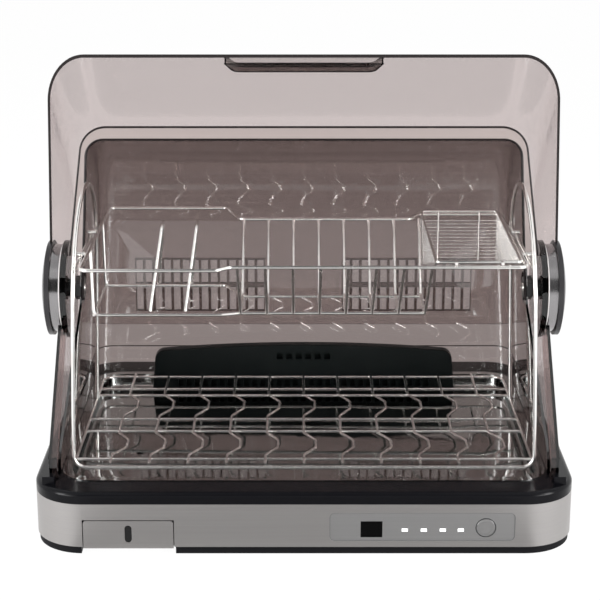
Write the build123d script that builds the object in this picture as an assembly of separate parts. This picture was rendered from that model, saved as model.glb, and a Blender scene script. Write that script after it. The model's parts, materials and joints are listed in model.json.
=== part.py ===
# Countertop dish dryer: a base with hot-air works, smoky covers, a visor door on two pins,
# two wire racks, a cutlery basket and a water drawer.
# Millimetres. +X is to the right, +Y to the back, +Z up. The origin is under the middle of the base.
from build123d import *
import os
from math import acos, cos, degrees, hypot, radians, sin, tan

# Height of the base shell above the worktop, added when the pieces are saved
stand = 3.0

# Base
base_width = 506.0
base_depth = 380.0
base_corner = 48.0
pan_bottom = -2.2
band_bottom = 5.0
band_top = 47.5
deck_top = 59.0
band_wall = 2.0
deck_wall = 2.5
skirt_inset = 1.5
foot_radius = 11.0
foot_recess = 1.0
post_places = [(-222, -130), (222, -130), (-215, 100), (215, 100)]
post_radius = 5.0
screw_radius = 2.0

# Drip tray and the well that holds it
tray_half = 229.0
tray_front = -162.0
tray_back = 148.5
tray_corner = 30.0
tray_sheet = 0.8
tray_lip = 8.0
tray_floor = 46.0
well_floor = 41.0
drain_x = -163.0
drain_y = -60.0
drain_radius = 4.0

# Water drawer
drawer_left = -204.5
drawer_right = -121.0
drawer_bottom = 3.5
drawer_top = 31.0
drawer_gap = 0.8
drawer_length = 190.0
drawer_wall = 2.0
drawer_face = 3.0

# Control plate
plate_left = 23.5
plate_right = 195.0
plate_bottom = 11.0
plate_top = 39.0
plate_corner = 5.0
plate_sunk = 0.8
display_left = 52.2
display_right = 72.4
display_bottom = 14.4
display_top = 30.4
light_places = [93.1, 110.7, 128.2, 144.9]
light_z = 21.6
button_x = 168.0
button_z = 24.0
button_radius = 8.5
button_travel = 0.8

# Hinge axis and door visor, drawn closed and then swung open
pivot_y = 5.0
pivot_z = 199.0
door_swing = 121.5
edge_angle = -35.6
edge_reach = 237.5
crown_radius = 183.0
far_angle = 87.5
cover_wall = 2.5
side_half = 255.0
side_slope = 0.0385
cheek_half = 244.5
cheek_slope = 0.03
door_corner = 36.0
hub_radius = 44.0
grip_low = 2.0
grip_high = 19.0
grip_half = 76.0
grip_taper = 8.0
grip_depth = 9.5
grip_wall = 1.5
hub_inner = 240.0
hub_outer = 250.3
pin_radius = 6.0
pin_clearance = 0.06
cap_radius = 47.5
cap_outer = 261.5
cap_edge = 255.0

# Rear cover
cover_front = -10.0
cover_back = 152.0
cover_roof = 355.0
roof_radius = 138.0
cover_half = 232.0
cover_slope = 0.06
cover_corner = 20.0
rim_top = 365.7
rim_depth = 2.5
vent_slots = 14
vent_first = 47.0
vent_pitch = 10.2
vent_width = 7.0
vent_rows = [(131.5, 157.5), (162.5, 188.5)]

# Hot-air outlet and works
duct_half = 166.0
duct_front = 123.5
duct_back = 135.2
duct_foot = tray_floor + 0.3
plenum_front = 123.0
plenum_back = 136.0
air_front = 126.5
air_back = 132.5
air_half = 138.0
duct_crown = 99.0
duct_shoulder = 92.0
blower_x = 75.0
blower_y = 40.0
blower_radius = 62.0
blower_bottom = 9.0
blower_top = 38.0
heater_front = 102.5
blade_count = 24

# Racks
frame_wire = 2.0
cross_wire = 1.5
floor_wire = 1.4
rack_half = 218.0
rack_lean = 0.0336
rack_front = -138.5
rack_leg = 48.0
rack_back = 120.0
rack_low = 63.0
arch_top = 315.0
floor_low = 63.5
floor_high = floor_low + cross_wire + floor_wire
front_bend = 12.0
floor_bend = 14.0
bar_places = [80, 60, -11, -45]
lip_bar = -119.0
wave_count = 11
wave_pitch = 36.75
wave_swing = 11.5
rail_z = 254.3
rim_wire = 1.8
upper_z = 258.0
upper_half = 204.5
cradle_wire = 1.6
cradle_floor = 191.0
cradle_count = 8
cradle_first = -61.5
cradle_pitch = 25.6

# Cutlery basket
basket_left = 117.0
basket_right = 204.5
basket_front = -133.0
basket_back = 75.0
basket_z = 261.9
basket_low = 206.0
basket_wire = 1.5
mesh_wire = 0.7

front_face = -base_depth / 2
pivot_axis = Axis((0, pivot_y, pivot_z), (1, 0, 0))
os.makedirs("parts", exist_ok=True)


# Shared shapes
def save(shape, name):
    solids = [solid.moved(Location((0, 0, stand))) for solid in shape.solids()]
    export_step(Compound(children=solids), f"parts/{name}.step")


def block(x0, x1, y0, y1, z0, z1):
    return Pos((x0 + x1) / 2, (y0 + y1) / 2, (z0 + z1) / 2) * Box(x1 - x0, y1 - y0, z1 - z0)


def plan_block(half, y0, y1, z0, z1, corner):
    plan = Pos(0, (y0 + y1) / 2, z0) * RectangleRounded(2 * half, y1 - y0, corner)
    return extrude(plan, amount=z1 - z0)


def base_block(inset, z0, z1):
    half_depth = base_depth / 2 - inset
    return plan_block(base_width / 2 - inset, -half_depth, half_depth, z0, z1, base_corner - inset)


def upright(x, y, z0, z1, radius):
    return extrude(Pos(x, y, z0) * Circle(radius), amount=z1 - z0)


def rod(start, end, radius):
    run = Vector(*end) - Vector(*start)
    return extrude(Plane(origin=start, z_dir=run) * Circle(radius), amount=run.length)


def bent_path(points, bends):
    corners = [Vector(*p) for p in points]
    edges = []
    start = corners[0]
    for before, corner, after, bend in zip(corners, corners[1:], corners[2:], bends):
        back = (before - corner).normalized()
        ahead = (after - corner).normalized()
        half_turn = radians(back.get_angle(ahead)) / 2
        reach = bend / tan(half_turn)
        middle = corner + (back + ahead).normalized() * (bend / sin(half_turn) - bend)
        edges.append(Edge.make_line(start, corner + back * reach))
        edges.append(Edge.make_three_point_arc(corner + back * reach, middle, corner + ahead * reach))
        start = corner + ahead * reach
    edges.append(Edge.make_line(start, corners[-1]))
    return Wire(edges)


def bent_wire(points, bends, radius):
    path = bent_path(points, bends)
    return sweep(Plane(origin=path @ 0, z_dir=path % 0) * Circle(radius), path=path)


def wire_loop(points, bend, radius):
    start = [(points[-1][n] + points[0][n]) / 2 for n in range(3)]
    return bent_wire([start, *points, start], [bend] * len(points), radius)


def turned(section):
    plane = Plane(origin=(0, pivot_y, pivot_z), x_dir=(1, 0, 0), z_dir=(0, -1, 0))
    return revolve(plane * section, axis=pivot_axis)


def side_slab(outline, half=280.0):
    return extrude(Plane.YZ * make_face(outline), amount=half, both=True)


def polar(radius, angle):
    return (pivot_y - radius * cos(radians(angle)), pivot_z + radius * sin(radians(angle)))


def mirrored(shape):
    return mirror(shape, about=Plane.YZ)


# Base shells
def bottom_pan():
    pan = base_block(skirt_inset, pan_bottom, band_bottom)
    lip = base_block(band_wall + 0.15, band_bottom, 12.0)
    pan += lip - base_block(2 * band_wall + 0.15, band_bottom, 12.0)
    pan -= block(drawer_left - 2, drawer_right + 2, front_face, front_face + 18, pan_bottom, 12.0)
    pan -= block(plate_left - 5, plate_right + 5, front_face, front_face + 6, band_bottom, 13.0)
    for x, y in post_places:
        pan -= upright(x, y, pan_bottom, band_bottom, screw_radius + 0.2)
        pan -= upright(x, y, pan_bottom, pan_bottom + 1.6, 3.8)
    for x in (-200, 200):
        for y in (-150, 150):
            pan -= upright(x, y, pan_bottom, pan_bottom + foot_recess, foot_radius)
    for row in range(-5, 6):
        reach = (44.0**2 - (row * 7.5) ** 2) ** 0.5
        pan -= block(
            blower_x - reach, blower_x + reach,
            blower_y + row * 7.5 - 1.8, blower_y + row * 7.5 + 1.8, pan_bottom, band_bottom,
        )
    return pan


def rubber_feet():
    pads = []
    for x in (-200, 200):
        for y in (-150, 150):
            pads.append(upright(x, y, -stand, pan_bottom + foot_recess, foot_radius))
    return Compound(children=pads)


def case_screws():
    screws = []
    for x, y in post_places:
        head = upright(x, y, pan_bottom, pan_bottom + 1.6, 3.6)
        screws.append(head + upright(x, y, pan_bottom + 1.6, 16.0, screw_radius))
    return Compound(children=screws)


def base_band():
    band = base_block(0, band_bottom, band_top) - base_block(band_wall, band_bottom, band_top)
    band -= block(
        drawer_left - drawer_gap, drawer_right + drawer_gap,
        front_face - 1, front_face + 12, band_bottom - 1, drawer_top + drawer_gap,
    )
    window = Pos((plate_left + plate_right) / 2, (plate_bottom + plate_top) / 2)
    window = window * RectangleRounded(plate_right - plate_left, plate_top - plate_bottom, plate_corner)
    band -= extrude(Plane.XZ.offset(-front_face - 10) * window, amount=20)
    return band - gland_bore(7.0)


def gland_bore(radius):
    return extrude(Plane(origin=(-150, 170, 22), z_dir=(0, 1, 0)) * Circle(radius), amount=40)


def top_deck():
    deck = base_block(0, band_top, deck_top)
    rim_edges = deck.edges().group_by(Axis.Z)[-1]
    deck = fillet(rim_edges, 4.5)
    deck -= base_block(deck_wall, band_top, deck_top - 3)
    tongue = base_block(band_wall + 0.15, 43.0, band_top + 1)
    tongue -= base_block(2 * band_wall, 43.0, band_top + 1)
    well_half = tray_half - tray_lip + 2
    well_y0 = tray_front + tray_lip - 2
    well_y1 = tray_back - tray_lip + 2
    tub = plan_block(well_half + 2, well_y0 - 2, well_y1 + 2, well_floor, deck_top - 1, tray_corner - 4)
    deck = deck + tongue + tub
    deck -= plan_block(well_half, well_y0, well_y1, well_floor + 2, deck_top, tray_corner - 6)
    for x, y in post_places:
        deck += upright(x, y, band_bottom, well_floor + 1, post_radius)
        deck -= upright(x, y, band_bottom, 16.0, screw_radius)
    spout = upright(drain_x, drain_y, well_floor - 5, well_floor + 2, drain_radius + 2)
    deck += spout
    deck -= upright(drain_x, drain_y, well_floor - 6, well_floor + 3, drain_radius)
    deck -= block(-air_half, air_half, air_front, air_back, well_floor - 1, well_floor + 3)
    for side in (-1, 1):
        deck += Pos(side * 238, -164, deck_top + 3) * Box(11, 10, 8)
    return deck


def drip_tray():
    wall_half = tray_half - tray_lip
    y0 = tray_front + tray_lip
    y1 = tray_back - tray_lip
    corner = tray_corner - tray_lip
    tub = plan_block(wall_half, y0, y1, tray_floor - tray_sheet, deck_top + tray_sheet, corner)
    tub = fillet(tub.edges().group_by(Axis.Z)[0], 5.0)
    lip = plan_block(tray_half, tray_front, tray_back, deck_top, deck_top + tray_sheet, tray_corner)
    inside = plan_block(
        wall_half - tray_sheet, y0 + tray_sheet, y1 - tray_sheet,
        tray_floor, deck_top + 5, corner - tray_sheet,
    )
    inside = fillet(inside.edges().group_by(Axis.Z)[0], 5.0 - tray_sheet)
    tray = tub + lip - inside
    tray -= block(-air_half, air_half, air_front, air_back, tray_floor - 2, tray_floor + 1)
    return tray - upright(drain_x, drain_y, 40, 50, drain_radius - 0.5)


# Hot-air works
def duct_cover():
    shoulder = duct_half - 4
    front = make_face([
        Line((-duct_half, duct_foot), (duct_half, duct_foot)),
        Line((duct_half, duct_foot), (shoulder, duct_shoulder)),
        ThreePointArc((shoulder, duct_shoulder), (0, duct_crown), (-shoulder, duct_shoulder)),
        Line((-shoulder, duct_shoulder), (-duct_half, duct_foot)),
    ])
    front = fillet(front.vertices().group_by(Axis.Y)[-1], 11.0)
    inner = make_face(offset(front, amount=-2.5).edges())
    shell = extrude(Plane.XZ.offset(-duct_back) * front, amount=duct_back - duct_front)
    top_edge = shell.faces().sort_by(Axis.Y)[0].edges().filter_by(lambda e: (e @ 0.5).Z > duct_foot + 1)
    shell = fillet(top_edge, 2.0)
    shell -= extrude(Plane.XZ.offset(2.0 - duct_back) * inner, amount=duct_back - duct_front - 4.5)
    shell -= block(-air_half, air_half, air_front, air_back, duct_foot - 1, duct_foot + 4)
    for n in range(6):
        shell -= Pos(-26 + n * 10.4, duct_front, 86) * Box(6.5, 12, 6.5)
    for n in range(-15, 16):
        shell -= Pos(n * 9.0, duct_front, 55) * Box(5.5, 12, 8)
    return shell


def air_plenum():
    outer = block(-144, 144, plenum_front, plenum_back, band_bottom + 2, well_floor)
    shell = outer - block(-air_half, air_half, air_front, air_back, band_bottom + 5, well_floor + 1)
    return shell - block(blower_x - 33, blower_x + 33, plenum_front - 1, air_front + 1, 12, 35)


def blower_housing():
    outlet = (blower_x - 35, blower_x + 35, blower_y, heater_front)
    body = upright(blower_x, blower_y, blower_bottom, blower_top, blower_radius)
    body += block(*outlet, blower_bottom, blower_top)
    hollow = upright(blower_x, blower_y, blower_bottom + 2, blower_top - 2, blower_radius - 2)
    throat = (blower_x - 33, blower_x + 33, blower_y, heater_front + 1)
    hollow += block(*throat, blower_bottom + 2, blower_top - 2)
    return body - hollow - upright(blower_x, blower_y, blower_bottom - 1, blower_bottom + 3, 38.0)


def blower_motor():
    can = upright(blower_x, blower_y, 21, blower_top - 2, 20.0)
    return can - upright(blower_x, blower_y, 20, 33, 2.06)


def blower_shaft():
    return upright(blower_x, blower_y, 13, 32, 2.0)


def blower_impeller():
    wheel = upright(blower_x, blower_y, 14, 16.5, 50.0)
    wheel += upright(blower_x, blower_y, 14, 19, 7.0)
    for n in range(blade_count):
        turn = Pos(blower_x, blower_y, 0) * Rot(0, 0, n * 360 / blade_count)
        wheel += turn * (Pos(44.5, 0, 24) * (Rot(0, 0, 35) * Box(11, 1.4, 17)))
    return wheel - upright(blower_x, blower_y, 13, 20, 2.02)


def heater_block():
    core = block(blower_x - 35, blower_x + 35, heater_front, plenum_front, blower_bottom, blower_top)
    for n in range(-5, 6):
        x = blower_x + n * 6
        core -= block(x - 2.2, x + 2.2, heater_front - 1, plenum_front + 2, 12, 35)
    return core


def intake_filter():
    spots = [(row * 4.8, column * 4.8) for row in range(-8, 9) for column in range(-8, 9)]
    holes = [Pos(x, y) * Rectangle(3.6, 3.6) for x, y in spots if hypot(x, y) < 42]
    sheet = Circle(46.0) - holes
    return extrude(Pos(blower_x, blower_y, band_bottom) * sheet, amount=2.0)


# Controls
def plate_face(half_extra, y0, y1):
    middle = Pos((plate_left + plate_right) / 2, (plate_bottom + plate_top) / 2)
    width = plate_right - plate_left + 2 * half_extra
    height = plate_top - plate_bottom + 2 * half_extra
    outline = middle * RectangleRounded(width, height, plate_corner)
    return extrude(Plane.XZ.offset(-y1) * outline, amount=y1 - y0)


plate_front = front_face + plate_sunk
plate_back = front_face + band_wall


def control_plate():
    plate = plate_face(-0.15, plate_front, plate_back) + plate_face(3.0, plate_back, plate_back + 1)
    plate -= block(display_left, display_right, front_face, plate_back + 2, display_bottom, display_top)
    for x in light_places:
        plate -= Pos(x, plate_front, light_z) * Box(5.5, 12, 3.0)
    return plate - button_bore(button_radius + 0.25)


def button_bore(radius):
    along = Plane(origin=(button_x, front_face - 5, button_z), z_dir=(0, 1, 0))
    return extrude(along * Circle(radius), amount=12)


def display_window():
    return block(display_left, display_right, plate_front, plate_back + 1, display_bottom, display_top)


def indicator_lights():
    lights = []
    for x in light_places:
        lights.append(block(
            x - 2.75, x + 2.75, plate_front, plate_back + 1, light_z - 1.5, light_z + 1.5,
        ))
    return Compound(children=lights)


def power_button():
    face_y = plate_front - 0.5
    along = Plane(origin=(button_x, face_y, button_z), z_dir=(0, 1, 0))
    cap = extrude(along * Circle(button_radius), amount=plate_back + 1.4 - face_y)
    cap = fillet(cap.edges().sort_by(Axis.Y)[0], 0.4)
    ring = extrude(along * (Circle(6.2) - Circle(5.4)), amount=0.25)
    flange = extrude(along.offset(plate_back + 1.4 - face_y) * Circle(button_radius + 1.2), amount=1.2)
    return cap - ring + flange


def control_board():
    board_y = plate_back + 6.5
    board = block(35, 190, board_y, board_y + 1.6, 9.5, 40)
    return board + block(
        display_left - 2, display_right + 2, plate_back + 1, board_y,
        display_bottom - 1, display_top + 1,
    )


def button_switch():
    board_y = plate_back + 6.5
    body = block(button_x - 3, button_x + 3, board_y - 2.5, board_y, button_z - 3, button_z + 3)
    tip = rod((button_x, board_y - 3.0, button_z), (button_x, board_y - 2.5, button_z), 1.7)
    return body + tip


def cord_gland():
    bush = extrude(Plane(origin=(-150, 180, 22), z_dir=(0, 1, 0)) * Circle(6.95), amount=10)
    collar = extrude(Plane(origin=(-150, 184, 22), z_dir=(0, 1, 0)) * Circle(10.0), amount=4)
    return bush + collar - gland_bore(3.5)


# Water drawer
def drawer_runner():
    y1 = front_face + drawer_length + 12
    outer = block(drawer_left + 0.5, drawer_right - 0.5, front_face + 22, y1 + 2.5, band_bottom, 22)
    return outer - block(drawer_left + 3, drawer_right - 3, front_face + 20, y1, band_bottom, 23)


def drawer_tub():
    tub = block(
        drawer_left + 3.5, drawer_right - 3.5, front_face + drawer_face,
        front_face + drawer_length, band_bottom + 0.6, drawer_top - 2,
    )
    hollow = block(
        drawer_left + 3.5 + drawer_wall, drawer_right - 3.5 - drawer_wall,
        front_face + drawer_face + drawer_wall, front_face + drawer_length - drawer_wall,
        band_bottom + 0.6 + drawer_wall, drawer_top,
    )
    return tub - hollow


def drawer_pill(y0, y1):
    pill = Pos((drawer_left + drawer_right) / 2, 18) * SlotOverall(17, 6.5, rotation=90)
    return extrude(Plane.XZ.offset(-y1) * pill, amount=y1 - y0)


def drawer_front():
    face = block(drawer_left, drawer_right, front_face, front_face + drawer_face, drawer_bottom, drawer_top)
    upper = face.edges().filter_by(Axis.Y).group_by(Axis.Z)[-1]
    return fillet(upper, 3.0) - drawer_pill(front_face - 1, front_face + drawer_face + 1)


# Smoky covers
def barrel(inset):
    reach = edge_reach + 45
    low = side_half - inset
    high = low - side_slope * reach
    return turned(Polygon((-low, 0), (-high, reach), (high, reach), (low, 0), align=None))


def visor_edges(solid, radius):
    def on_skin(edge):
        middle = edge @ 0.5
        return abs(middle.X) > 150 and hypot(middle.Y - pivot_y, middle.Z - pivot_z) > radius - 1
    return solid.edges().filter_by(on_skin)


def visor_block(inset):
    radius = crown_radius - inset
    tangent = edge_angle + degrees(acos(crown_radius / edge_reach))
    wall_top = polar(radius, tangent)
    edge = polar(edge_reach, edge_angle)
    inward = (cos(radians(tangent)), -sin(radians(tangent)))
    edge = (edge[0] + inset * inward[0], edge[1] + inset * inward[1])
    far = far_angle
    hinge = (pivot_y, pivot_z)
    if inset:
        run = (edge[0] - wall_top[0], edge[1] - wall_top[1])
        edge = (edge[0] + 0.3 * run[0], edge[1] + 0.3 * run[1])
        far = far_angle + 12
        hinge = polar(30, (edge_angle + far_angle) / 2 + 180)
    outline = [
        Line(hinge, edge),
        Line(edge, wall_top),
        ThreePointArc(wall_top, polar(radius, (tangent + far) / 2), polar(radius, far)),
        Line(polar(radius, far), hinge),
    ]
    solid = side_slab(outline) & barrel(inset)
    return fillet(visor_edges(solid, radius), door_corner - inset)


def hub_disc(x0, x1, radius, side):
    section = Pos(side * (x0 + x1) / 2, radius / 2) * Rectangle(x1 - x0, radius)
    return turned(section)


def grip_block(inset, depth):
    tangent = edge_angle + degrees(acos(crown_radius / edge_reach))
    edge = polar(edge_reach, edge_angle)
    top = polar(crown_radius, tangent)
    up = Vector(0, top[0] - edge[0], top[1] - edge[1]).normalized()
    face = Plane(origin=(0, *edge), x_dir=(1, 0, 0), z_dir=(0, -up.Z, up.Y))
    low = grip_low + inset
    high = grip_high - inset
    wide = grip_half - inset
    narrow = grip_half - grip_taper - inset
    corners = [(-wide, low), (wide, low), (narrow, high), (-narrow, high)]
    outline = make_face(Polyline(*corners, close=True))
    outline = fillet(outline.vertices().group_by(Axis.Y)[-1], 9.0 - inset)
    return extrude(face * outline, amount=-depth)


def closed_visor():
    shell = visor_block(0) - visor_block(cover_wall) - grip_block(0, grip_depth)
    for side in (-1, 1):
        shell += hub_disc(hub_inner, hub_outer + 0.5, hub_radius, side)
        shell -= hub_disc(hub_outer, side_half + 2, cap_radius + 0.4, side)
        shell -= hub_disc(hub_inner - 2, hub_outer + 2, pin_radius + pin_clearance, side)
    return shell


def closed_handle():
    return grip_block(0, grip_depth) - grip_block(grip_wall, grip_depth - grip_wall)


def opened(shape):
    return shape.rotate(pivot_axis, -door_swing)


def hinge_cap():
    rise = cap_outer - cap_edge
    radius = (cap_radius**2 + rise**2) / (2 * rise)
    ball = Pos(cap_outer - radius, pivot_y, pivot_z) * Sphere(radius)
    return hub_disc(hub_outer + 0.1, cap_outer + 1, cap_radius, 1) & ball


def cheek_outline(depth):
    low_angle = edge_angle - 0.6
    foot_y = -158.0
    reach = (pivot_y - foot_y) / cos(radians(low_angle))
    knee = polar(reach, low_angle)
    drop = depth / cos(radians(low_angle))
    if depth:
        hinge_low = (pivot_y, pivot_z - drop)
        points = [(pivot_y, pivot_z), knee, (foot_y, deck_top), (foot_y + depth, deck_top)]
        points += [(foot_y + depth, knee[1] - drop + depth * tan(radians(-low_angle))), hinge_low]
    else:
        back_y = cover_back - 2
        back_z = pivot_z - (back_y - pivot_y) * tan(radians(33))
        points = [(pivot_y, pivot_z), knee, (foot_y, deck_top), (back_y, deck_top), (back_y, back_z)]
    return Polyline(*points, close=True)


def cheek_band(thickness, r0, r1):
    outer0 = cheek_half - cheek_slope * r0
    outer1 = cheek_half - cheek_slope * r1
    points = [(outer0 - thickness, r0), (outer1 - thickness, r1), (outer1, r1), (outer0, r0)]
    return turned(make_face(Polyline(*points, close=True)))


def cheek():
    disc_outer = hub_inner - 0.6
    ring_radius = hub_radius + 3
    plate = cheek_band(cover_wall, ring_radius + 1, 240)
    ring = hub_disc(disc_outer - 6, cheek_half - cheek_slope * ring_radius, ring_radius + 3, 1)
    ring -= hub_disc(disc_outer - 7, cheek_half + 1, ring_radius, 1)
    fan = (plate + ring) & side_slab(cheek_outline(0))
    flange = cheek_band(8.0, ring_radius + 1, 240) & side_slab(cheek_outline(5.0))
    disc = hub_disc(disc_outer - 6, disc_outer, ring_radius + 1, 1)
    return fan + flange + disc - hub_disc(disc_outer - 8, disc_outer + 1, pin_radius, 1)


def hinge_pin():
    shaft = hub_disc(229.0, 249.6, pin_radius, 1)
    return shaft + hub_disc(229.0, hub_inner - 6.6, pin_radius + 3, 1)


def hinge_nut():
    hexagon = Plane(origin=(220.5, pivot_y, pivot_z), z_dir=(1, 0, 0)) * RegularPolygon(12.5, 6)
    nut = extrude(hexagon, amount=8.5)
    socket = Plane(origin=(220.5, pivot_y, pivot_z), z_dir=(1, 0, 0)) * Circle(5.0)
    return nut - extrude(socket, amount=3.0)


def cover_prism(inset):
    bottom = 20.0
    top = 420.0
    low = cover_half - inset - cover_slope * (bottom - deck_top)
    high = cover_half - inset - cover_slope * (top - deck_top)
    outline = Polyline((-low, bottom), (low, bottom), (high, top), (-high, top), close=True)
    return extrude(Plane.XZ.offset(-300) * make_face(outline), amount=600)


def cover_block(inset):
    arc_y = cover_back - roof_radius
    arc_z = cover_roof - roof_radius
    radius = roof_radius - inset
    roof = cover_roof - inset
    back = cover_back - inset
    front = cover_front if not inset else -220.0
    floor = deck_top if not inset else 30.0
    knee = radius * cos(radians(45))
    outline = [
        Line((front, roof), (arc_y, roof)),
        ThreePointArc((arc_y, roof), (arc_y + knee, arc_z + knee), (back, arc_z)),
        Line((back, arc_z), (back, floor)),
    ]
    if inset:
        outline += [Line((back, floor), (front, floor)), Line((front, floor), (front, roof))]
    else:
        corners = [(back, floor), (-146, floor), (-146, 82), (front, 186), (front, roof)]
        outline += [Line(a, b) for a, b in zip(corners, corners[1:])]
    solid = side_slab(outline) & cover_prism(inset)

    def on_skin(edge):
        middle = edge @ 0.5
        arc = middle.Y > arc_y and middle.Z > arc_z
        arc = arc and hypot(middle.Y - arc_y, middle.Z - arc_z) > radius - 0.5
        flat = middle.Z > roof - 0.1 and middle.Y < arc_y and abs((edge % 0.5).Y) > 0.9
        rear = middle.Y > back - 0.1 and middle.Z < arc_z and abs((edge % 0.5).X) < 0.5
        return abs(middle.X) > 150 and (arc or flat or rear)
    return fillet(solid.edges().filter_by(on_skin), cover_corner - inset)


def rear_cover():
    outer = cover_block(0)
    shell = outer - cover_block(cover_wall)
    rim_low = 234.0
    rim_bottom_half = 232.3
    rim_top_half = 215.6
    rim = make_face(Polyline(
        (-rim_bottom_half, rim_low), (rim_bottom_half, rim_low),
        (rim_top_half, rim_top), (-rim_top_half, rim_top), close=True,
    ))
    rim = fillet(rim.vertices().group_by(Axis.Y)[-1], 26.0)
    rim = extrude(Plane.XZ.offset(-cover_front - rim_depth) * rim, amount=rim_depth)
    shell += rim - cover_block_core()
    for side in (-1, 1):
        shell -= hub_disc(200, 240, 16.0, side)
        for n in range(vent_slots):
            x = side * (vent_first + n * vent_pitch)
            for low, high in vent_rows:
                half = vent_width / 2
                shell -= block(x - half, x + half, cover_back - 8, cover_back + 4, low, high)
    return shell


def cover_block_core():
    half = cover_half - 1.0
    low = half - cover_slope * (20 - deck_top)
    high = half - cover_slope * (cover_roof - 1 - deck_top)
    roof = cover_roof - 1
    face = make_face(Polyline((-low, 20), (low, 20), (high, roof), (-high, roof), close=True))
    face = fillet(face.vertices().group_by(Axis.Y)[-1], cover_corner - 1)
    return extrude(Plane.XZ.offset(-60) * face, amount=120)


def vent_screens():
    screens = []
    for side in (-1, 1):
        low = side * (vent_first - 5)
        high = side * (vent_first + (vent_slots - 1) * vent_pitch + 5)
        span = (min(low, high), max(low, high))
        screens.append(block(*span, cover_back, cover_back + 0.8, 129.5, 190.5))
    return Compound(children=screens)


# Lower rack
def rack_x(z):
    return rack_half - rack_lean * (z - rack_low)


def rack_front_bar():
    end_z = rack_low + 14
    points = [(-rack_x(end_z), end_z), (-rack_half, rack_low)]
    points += [(rack_half, rack_low), (rack_x(end_z), end_z)]
    return bent_wire([(x, rack_front, z) for x, z in points], [front_bend, front_bend], frame_wire)


def rack_arch(side):
    arch_radius = (rack_leg - rack_front) / 2 - 0.1
    spots = [(rack_front, rack_low + 14), (rack_front, arch_top)]
    spots += [(rack_leg, arch_top), (rack_leg, floor_low + cross_wire)]
    points = [(side * rack_x(z), y, z) for y, z in spots]
    return bent_wire(points, [arch_radius, arch_radius], frame_wire)


def wave_points(x):
    swing = x + wave_swing
    return [
        (x, rack_back), (x, 54), (swing, 34), (swing, 13), (x, -9),
        (x, -57), (swing, -76), (swing, -96), (x, -115), (x, rack_front),
    ]


def rack_floor():
    reach = rack_half - cross_wire
    turn_x = rack_half - floor_bend - 1
    turn_y = rack_back - floor_bend - 1
    wires = [rod((-turn_x, rack_back, floor_low), (turn_x, rack_back, floor_low), cross_wire)]
    for side in (-1, 1):
        x = side * rack_half
        wires.append(rod((x, lip_bar + cross_wire, floor_low), (x, turn_y, floor_low), cross_wire))
        corner = [(x, turn_y), (x, rack_back), (side * turn_x, rack_back)]
        wires.append(bent_wire([(px, py, floor_low) for px, py in corner], [floor_bend], cross_wire))
    end = rack_half + cross_wire
    wires.append(rod((-end, lip_bar, floor_low), (end, lip_bar, floor_low), cross_wire))
    for y in bar_places:
        wires.append(rod((-reach, y, floor_low), (reach, y, floor_low), cross_wire))
    middle = (wave_count - 1) / 2
    for n in range(wave_count):
        points = [(x, y, floor_high) for x, y in wave_points((n - middle) * wave_pitch)]
        wires.append(bent_wire(points, [8.0, 9.0, 9.0, 8.0, 8.0, 9.0, 9.0, 8.0], floor_wire))
    return Compound(children=wires)


def rack_rail(side):
    x = side * rack_x(rail_z)
    middle = (rack_front + rack_leg) / 2
    arch_radius = (rack_leg - rack_front) / 2 - frame_wire
    rise = rail_z + cross_wire - (arch_top - (rack_leg - rack_front) / 2)
    reach = (arch_radius**2 - rise**2) ** 0.5
    return rod((x, middle - reach, rail_z), (x, middle + reach, rail_z), cross_wire)


# Upper rack
upper_outline = [
    (-upper_half, -144), (-80, -144), (-68, -133), (upper_half, -133),
    (upper_half, 75), (118, 75), (110, 53), (-66, 53), (-80, 102), (-upper_half, 102),
]
cradle_front_y = -57.0
cradle_back_y = 0.0
bay_front_y = -63.0
bay_back_y = 40.0
bay_left = -203.5
bay_right = -80.0


def upper_rack_rim():
    return wire_loop([(x, y, upper_z) for x, y in upper_outline], 7.0, rim_wire)


def cradle_places():
    return [cradle_first + n * cradle_pitch for n in range(cradle_count)]


def slope_rod(x, rim_y, floor_y):
    run = Vector(0, rim_y - floor_y, upper_z - cradle_floor).normalized()
    top = Vector(x, rim_y, upper_z) - run * rim_wire
    low = Vector(x, floor_y, cradle_floor) + run * cradle_wire
    return rod(tuple(low), tuple(top), cradle_wire)


def cradle_wall(rim_y, floor_y, bay_floor_y):
    right = cradle_places()[-1] + cradle_wire
    spans = [(cradle_first - 4, right, floor_y), (bay_left - cradle_wire, bay_right, bay_floor_y)]
    rods = [rod((x0, y, cradle_floor), (x1, y, cradle_floor), cradle_wire) for x0, x1, y in spans]
    for x in cradle_places():
        rods.append(slope_rod(x, rim_y, floor_y))
    low = (bay_left, bay_floor_y, cradle_floor + cradle_wire)
    rods.append(rod(low, (-upper_half, bay_floor_y, upper_z - rim_wire), cradle_wire))
    return Compound(children=rods)


def upper_rack_floor():
    rods = []
    for x in cradle_places():
        rods.append(rod(
            (x, cradle_front_y + cradle_wire, cradle_floor),
            (x, cradle_back_y - cradle_wire, cradle_floor), cradle_wire,
        ))
    rods.append(rod(
        (bay_left, bay_front_y + cradle_wire, cradle_floor),
        (bay_left, bay_back_y - cradle_wire, cradle_floor), cradle_wire,
    ))
    return Compound(children=rods)


def plate_hoops():
    hoops = []
    low = cradle_floor + cradle_wire + 1.6
    for x in (-149, -115):
        points = [(x, bay_front_y, low), (x + 10, -21, 270), (x + 10, -3, 270), (x, bay_back_y, low)]
        hoops.append(bent_wire(points, [7.0, 7.0], cradle_wire))
    return Compound(children=hoops)


def rack_hooks():
    hooks = []
    for side in (-1, 1):
        for y in (-85, 0):
            start = (side * (upper_half + rim_wire), y, upper_z)
            hooks.append(rod(start, (side * (rack_x(rail_z) + 3), y, upper_z), rim_wire))
    return Compound(children=hooks)


# Cutlery basket
inner_left = basket_left + 4.5
inner_right = basket_right - 4.5
inner_back = basket_back - 4.5
inner_front = basket_front + 4.5


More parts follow.
